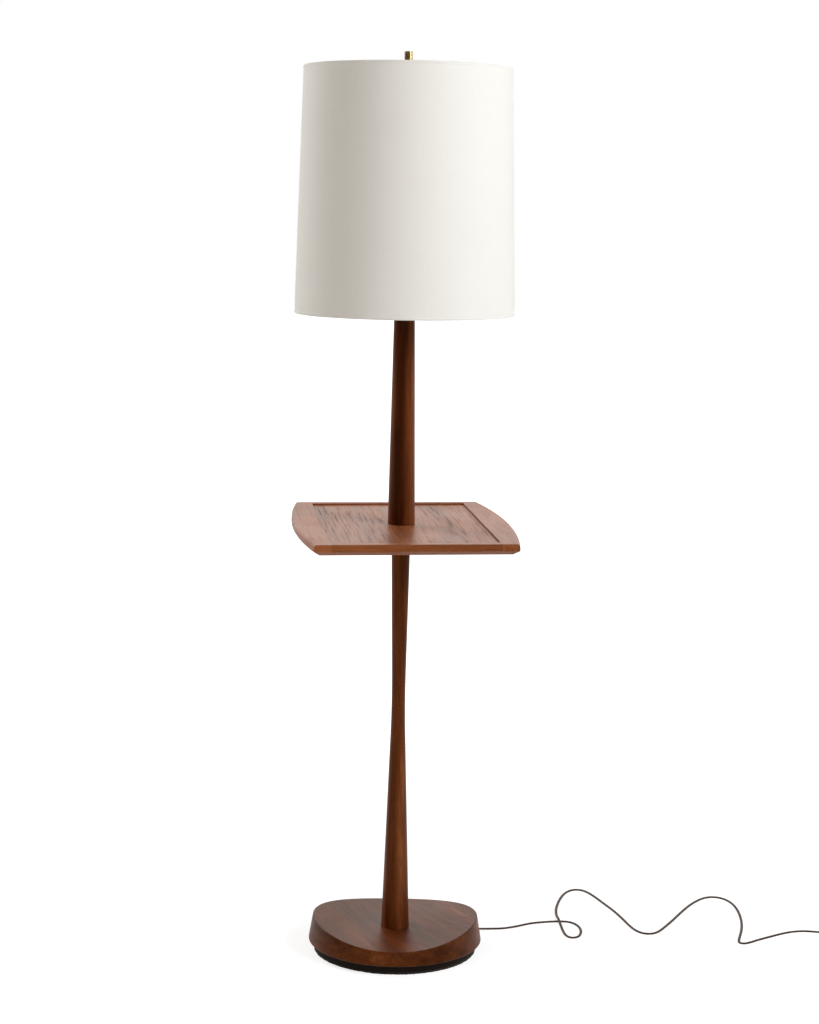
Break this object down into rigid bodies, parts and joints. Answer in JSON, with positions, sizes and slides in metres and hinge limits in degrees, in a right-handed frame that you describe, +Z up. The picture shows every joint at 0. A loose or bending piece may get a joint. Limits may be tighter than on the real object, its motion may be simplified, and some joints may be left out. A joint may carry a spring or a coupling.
{
  "type": "floor lamp with table",
  "caption": "Floor lamp with a wooden pole, a bowed tray table at mid height, a scooped oval base and a drum fabric shade on a harp",
  "frame": {"origin": "on the floor, on the axis of the column", "axes": "+Z up, -Y towards the person who faces the lamp, +X to that person's right"},
  "size_m": [1.0599, 0.5294, 1.4777],
  "materials": {
    "mahogany": "satin lacquered dark reddish brown wood",
    "linen": "off-white plain woven shade cloth",
    "brass": "polished brass",
    "zinc_steel": "zinc plated steel",
    "black_iron": "black painted cast iron",
    "felt": "dark brown felt",
    "brown_plastic": "dark brown flexible cord",
    "black_plastic": "black moulded plastic",
    "fibre": "insulating fibre and porcelain",
    "bulb_glass": "soft white bulb glass"
  },
  "bodies": {
    "frame": {"base_felt": "felt", "base_weight": "black_iron", "base_wood": "mahogany", "base_nut": "zinc_steel", "base_washer": "zinc_steel", "cord_bushing": "black_plastic", "stem_pipe": "zinc_steel", "inner_lead": "brown_plastic", "lower_column": "mahogany", "upper_column": "mahogany", "tray_wing_left": "mahogany", "tray_wing_right": "mahogany", "tray_rail_front": "mahogany", "tray_rail_back": "mahogany", "tray_panel": "mahogany", "neck_cap": "brass", "harp_saddle": "brass", "harp_wire": "brass", "harp_stud": "brass", "socket_cap": "brass", "socket_shell": "brass", "socket_sleeve": "fibre", "socket_core": "fibre", "screw_shell": "brass", "centre_contact": "brass", "cord_run": "brown_plastic", "cord_coil": "brown_plastic", "plug_body": "brown_plastic", "plug_blade_left": "brass", "plug_blade_right": "brass", "weight_screw_1": "zinc_steel", "weight_screw_2": "zinc_steel", "weight_screw_3": "zinc_steel"},
    "shade": {"shade_drum": "linen", "shade_trim_top": "linen", "shade_trim_bottom": "linen", "shade_ring_top": "zinc_steel", "shade_ring_bottom": "zinc_steel", "spider_hub": "brass", "spider_arm_1": "brass", "spider_arm_2": "brass", "spider_arm_3": "brass"},
    "finial": {"finial": "brass"},
    "bulb": {"bulb_glass": "bulb_glass", "bulb_cap": "zinc_steel", "bulb_tip": "zinc_steel"},
    "knob": {"switch_shaft": "black_plastic", "switch_knob": "black_plastic"},
    "ferrule_left": {"harp_ferrule_left": "brass"},
    "ferrule_right": {"harp_ferrule_right": "brass"}
  },
  "joints": [
    {"name": "shade_turn", "type": "hinge", "parent": "frame", "child": "shade", "pos_m": [0, 0, 1.4484], "axis": [0, 0, 1], "continuous": true},
    {"name": "finial_lift", "type": "slide", "parent": "frame", "child": "finial", "axis": [0, 0, 1], "range_m": [0, 0.03]},
    {"name": "bulb_unscrew", "type": "slide", "parent": "frame", "child": "bulb", "axis": [0, 0, 1], "range_m": [0, 0.024]},
    {"name": "knob_turn", "type": "hinge", "parent": "frame", "child": "knob", "pos_m": [0, -0.03, 1.2242], "axis": [0, -1, 0], "continuous": true},
    {"name": "ferrule_left_lift", "type": "slide", "parent": "frame", "child": "ferrule_left", "axis": [0, 0, 1], "range_m": [0, 0.012]},
    {"name": "ferrule_right_lift", "type": "slide", "parent": "frame", "child": "ferrule_right", "axis": [0, 0, 1], "range_m": [0, 0.012]}
  ]
}
